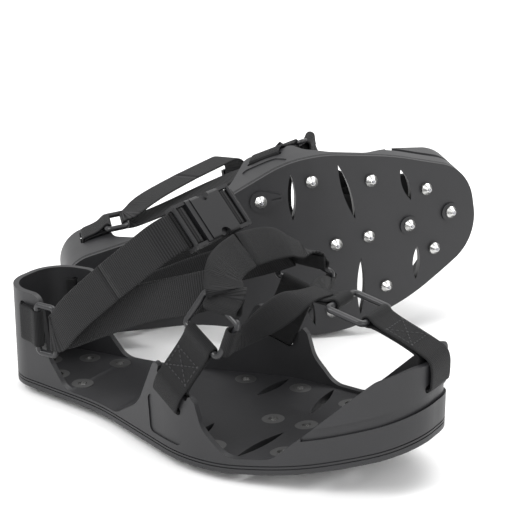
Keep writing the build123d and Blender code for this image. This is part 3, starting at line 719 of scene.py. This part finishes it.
def heel_upper_stations():
    """The rest of the run, the bend over the ankle and the turn round the ladder's bar."""
    stations = [(buckle_place(*SPLIT_UP), BUCKLE_UP)]
    for turn in angles(*range(0, 91, 15)):
        stations.append((buckle_place(STRAP_SIDE + BEND * (1 - math.cos(turn)), 0,
                                      STRAP_OUT - BEND * (1 - math.sin(turn))), BUCKLE_UP))
    places = [(LADDER_BAR - 6, -1.8), (LADDER_BAR - 2.5, -2.6)]
    places += [(LADDER_BAR + EYE * math.sin(a), -0.4 - EYE * math.cos(a))
               for a in angles(0, 30, 60, 90, 120, 150, 180)]
    places += [(LADDER_BAR - 3, 1.2), (LADDER_BAR - 6, -0.1), (LADDER_BAR - 9.5, -0.1)]
    stations += [(buckle_place(x, 0, z), BUCKLE_UP) for x, z in places]
    return stations


for side in SIDES:
    lower = strap_mesh("heel_lower", heel_lower_stations(), WIDE)
    upper = strap_mesh("heel_upper", heel_upper_stations(), WIDE)
    for label, mirrored in (("outer", False), ("inner", True)):
        strap = place_piece(f"{side}_{label}_heel_webbing", lower, side, mirrored, COARSE)
        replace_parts(strap, f"{side}_{label}_heel_strap")
        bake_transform(strap)
        strap = place_piece(f"{side}_{label}_ankle_webbing", upper, side, mirrored, COARSE)
        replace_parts(strap, f"{side}_{label}_heel_strap")
        if mirrored:
            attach(strap, f"{side}_cleat")
        else:
            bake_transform(strap)
print("heel straps made", len(lower.vertices) + len(upper.vertices), "vertices each")

# %% [markdown]
# Stitches repeat along seams, so Geometry Nodes makes them: the seam is resampled at the stitch's pitch
# and a short rounded stitch is set on each point, turned along the seam.


# %% The stitch tree
STITCH_SIZES = {"Pitch": 0.003, "Thread Radius": 0.00035, "Stitch Length": 0.0022}


def stitch_tree():
    """Geometry Nodes: a stitch on every point of a seam."""
    tree = bpy.data.node_groups.new("stitched_seam", "GeometryNodeTree")
    tree.interface.new_socket("Geometry", in_out="INPUT", socket_type="NodeSocketGeometry")
    for label in STITCH_SIZES:
        tree.interface.new_socket(label, in_out="INPUT", socket_type="NodeSocketFloat")
    tree.interface.new_socket("Geometry", in_out="OUTPUT", socket_type="NodeSocketGeometry")
    nodes, links = tree.nodes, tree.links
    source, sink = nodes.new("NodeGroupInput"), nodes.new("NodeGroupOutput")
    seam, points = nodes.new("GeometryNodeMeshToCurve"), nodes.new("GeometryNodeCurveToPoints")
    stitch = nodes.new("GeometryNodeMeshUVSphere")
    stretch, setter = nodes.new("GeometryNodeInstanceOnPoints"), nodes.new("GeometryNodeSetMaterial")
    real, shape = nodes.new("GeometryNodeRealizeInstances"), nodes.new("GeometryNodeTransform")
    points.mode = "LENGTH"
    stitch.inputs["Segments"].default_value = 8
    stitch.inputs["Rings"].default_value = 6
    stitch.inputs["Radius"].default_value = 1.0
    size = nodes.new("ShaderNodeCombineXYZ")
    half = nodes.new("ShaderNodeMath")
    half.operation = "MULTIPLY"
    half.inputs[1].default_value = 0.5
    links.new(source.outputs["Stitch Length"], half.inputs[0])
    for axis in ("X", "Y"):
        links.new(source.outputs["Thread Radius"], size.inputs[axis])
    links.new(half.outputs[0], size.inputs["Z"])
    links.new(stitch.outputs["Mesh"], shape.inputs["Geometry"])
    links.new(size.outputs[0], shape.inputs["Scale"])
    links.new(source.outputs["Geometry"], seam.inputs[0])
    links.new(seam.outputs[0], points.inputs["Curve"])
    links.new(source.outputs["Pitch"], points.inputs["Length"])
    links.new(points.outputs["Points"], stretch.inputs["Points"])
    links.new(shape.outputs["Geometry"], stretch.inputs["Instance"])
    align = nodes.new("FunctionNodeAlignEulerToVector")
    align.axis = "Z"
    links.new(points.outputs["Tangent"], align.inputs["Vector"])
    links.new(align.outputs["Rotation"], stretch.inputs["Rotation"])
    links.new(stretch.outputs["Instances"], real.inputs[0])
    links.new(real.outputs[0], setter.inputs[0])
    setter.inputs["Material"].default_value = THREAD
    links.new(setter.outputs[0], sink.inputs[0])
    return tree


STITCHES = stitch_tree()
STITCH_INPUTS = {item.name: item.identifier for item in STITCHES.interface.items_tree
                 if item.in_out == "INPUT"}
print("stitch inputs", STITCH_INPUTS)


def sewn(name, seams, side, mirrored):
    """A mesh of stitches along seams given as lists of cleat-frame points."""
    place = FRAMES[side] @ MIRROR if mirrored else FRAMES[side]
    mesh = bpy.data.meshes.new(name)
    points = [tuple(place @ Vector(p)) for seam in seams for p in seam]
    edges, start = [], 0
    for seam in seams:
        edges += [(start + i, start + i + 1) for i in range(len(seam) - 1)]
        start += len(seam)
    mesh.from_pydata(points, edges, [])
    holder = bpy.data.objects.new(name + "_seam", mesh)
    bpy.context.scene.collection.objects.link(holder)
    modifier = holder.modifiers.new("stitches", "NODES")
    modifier.node_group = STITCHES
    for label, value in STITCH_SIZES.items():
        modifier[STITCH_INPUTS[label]] = value
    graph = bpy.context.evaluated_depsgraph_get()
    made = bpy.data.meshes.new_from_object(holder.evaluated_get(graph))
    bpy.data.objects.remove(holder)
    for polygon in made.polygons:
        polygon.use_smooth = True
    piece = bpy.data.objects.new(name, made)
    bpy.context.scene.collection.objects.link(piece)
    return piece


# %% [markdown]
# A stub is sewn with a box and a cross, the pattern that spreads a strap's load over the whole overlap.

# %% Sew the stubs
def box_and_cross(centre, along, across, length, width, lift):
    """Seams of a boxed cross on a strap's face."""
    corners = [centre + lift + along * (a * length / 2) + across * (b * width / 2)
               for a, b in ((-1, -1), (1, -1), (1, 1), (-1, 1))]
    box = corners + corners[:1]
    return [box[0:2], box[1:3], box[2:4], box[3:5], [corners[0], corners[2]], [corners[1], corners[3]]]


SEAM_LIFT = THICK + 0.15
for side in SIDES:
    sewn_from = ear_place(0, STUB_SEAM)
    rise = (SIDE_BAR - sewn_from).normalized()
    face = SIDE_ALONG.cross(rise).normalized()
    face = face if face.dot(EAR_OUT) > 0 else -face
    seams = box_and_cross(sewn_from + rise * 11.5, rise, SIDE_ALONG, 14, 20, face * SEAM_LIFT)
    for label, mirrored in (("outer", False), ("inner", True)):
        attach(sewn(f"{side}_{label}_stub_stitches", seams, side, mirrored), f"{side}_cleat")
    rise = (TOE_BAR - TOE_SEWN).normalized()
    face = Vector((-rise.z, 0, rise.x))
    face = face if face.z > 0 else -face
    seams = box_and_cross(TOE_SEWN + rise * 16, rise, ACROSS, 18, 20, face * SEAM_LIFT)
    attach(sewn(f"{side}_toe_stitches", seams, side, False), f"{side}_cleat")
print("stubs sewn")

# %% [markdown]
# The floor is plain and pale, and three large soft lights stand round the pair: a key from the front
# left, a fill from the right and a top light behind, which draws the rims of the rubber.

# %% The floor, the lights and the camera
def add_floor():
    """A wide pale floor."""
    mesh = bpy.data.meshes.new("floor")
    mesh.from_pydata([(-9, -9, 0), (9, -9, 0), (9, 9, 0), (-9, 9, 0)], [], [(0, 1, 2, 3)])
    material = shader_material("pale_floor", (0.92, 0.92, 0.92), 0.9)[0]
    mesh.materials.append(material)
    floor = bpy.data.objects.new("floor", mesh)
    bpy.context.scene.collection.objects.link(floor)


def add_light(name, place, target, size, power):
    """A square soft light aimed at a point."""
    light = bpy.data.lights.new(name, "AREA")
    light.size = size
    light.energy = power
    lamp = bpy.data.objects.new(name, light)
    lamp.location = place
    lamp.rotation_euler = (Vector(target) - Vector(place)).to_track_quat("-Z", "Y").to_euler()
    bpy.context.scene.collection.objects.link(lamp)


add_floor()
add_light("key", (-0.7, -1.3, 1.5), (0, 0, 0.05), 1.0, 26)
add_light("fill", (1.6, -0.8, 0.9), (0, 0, 0.05), 1.2, 12)
add_light("top", (0.2, 0.9, 1.9), (0, 0, 0.05), 1.4, 26)
world = bpy.data.worlds.new("studio")
world.use_nodes = True
world.node_tree.nodes["Background"].inputs["Color"].default_value = (1, 1, 1, 1)
world.node_tree.nodes["Background"].inputs["Strength"].default_value = 0.9
bpy.context.scene.world = world
bpy.context.scene.view_settings.view_transform = "Standard"

VIEW_AZIMUTH = math.radians(32.4)
VIEW_ELEVATION = math.radians(18.9)
VIEW_DISTANCE = 0.929
target = FRAMES["right"] @ Vector((34.4, 0, 121.5))
level = math.cos(VIEW_ELEVATION)
away = Vector((math.sin(VIEW_AZIMUTH) * level, -math.cos(VIEW_AZIMUTH) * level, math.sin(VIEW_ELEVATION)))
camera_data = bpy.data.cameras.new("camera")
camera_data.lens = 102.5
camera = bpy.data.objects.new("camera", camera_data)
camera.location = target + away * VIEW_DISTANCE
camera.rotation_euler = (-away).to_track_quat("-Z", "Y").to_euler()
bpy.context.scene.collection.objects.link(camera)
bpy.context.scene.camera = camera
print("camera at", camera.location)
